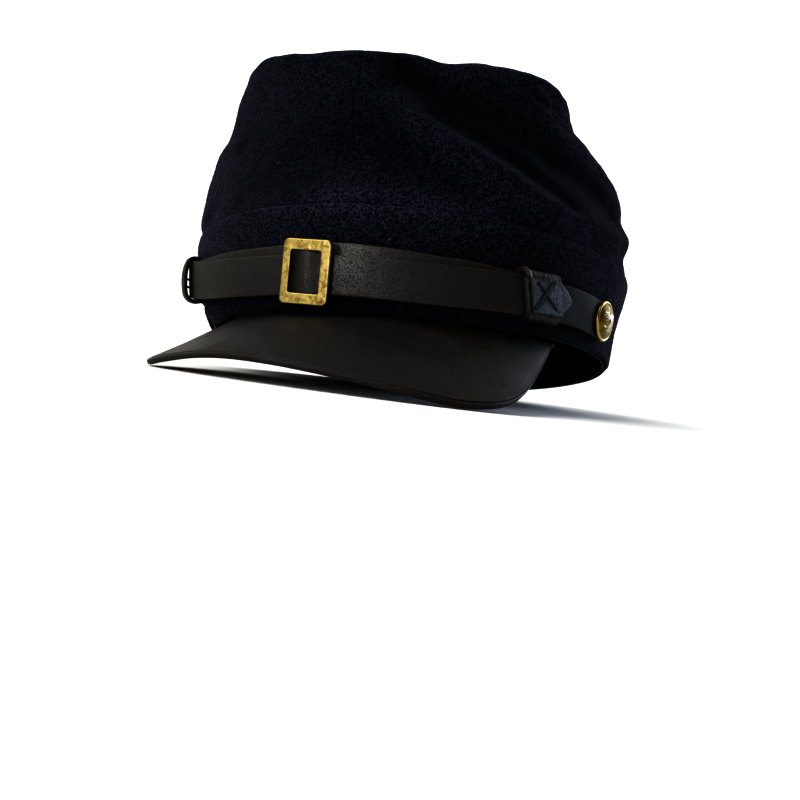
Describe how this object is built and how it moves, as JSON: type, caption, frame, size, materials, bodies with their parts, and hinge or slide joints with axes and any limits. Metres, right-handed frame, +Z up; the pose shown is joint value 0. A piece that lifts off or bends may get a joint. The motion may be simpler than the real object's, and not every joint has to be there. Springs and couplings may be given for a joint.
{
  "type": "kepi cap",
  "caption": "Soft wool forage cap with a flat forward-leaning tip, drooping leather peak, buckled leather chin strap on the band and domed side buttons.",
  "frame": {"origin": "centre of the bounding box on the ground plane", "axes": "+Z up from the surface that the cap rests on; the peak points along -Y; +X is the wearer's left"},
  "size_m": [0.1784, 0.2536, 0.1242],
  "materials": {
    "wool": "fulled navy wool broadcloth, almost black, matt with a short nap",
    "leather": "black leather, semi-matt, finely grained",
    "brass": "rolled brass, brushed and lightly worn"
  },
  "bodies": {
    "root": {"band": "wool", "crown": "wool", "crown_top": "wool", "sweatband": "leather", "peak": "leather", "strap_front": "leather", "strap_back": "leather", "keeper_left": "leather", "keeper_right": "leather", "buckle": "brass", "button_left": "brass", "button_right": "brass"}
  },
  "joints": []
}
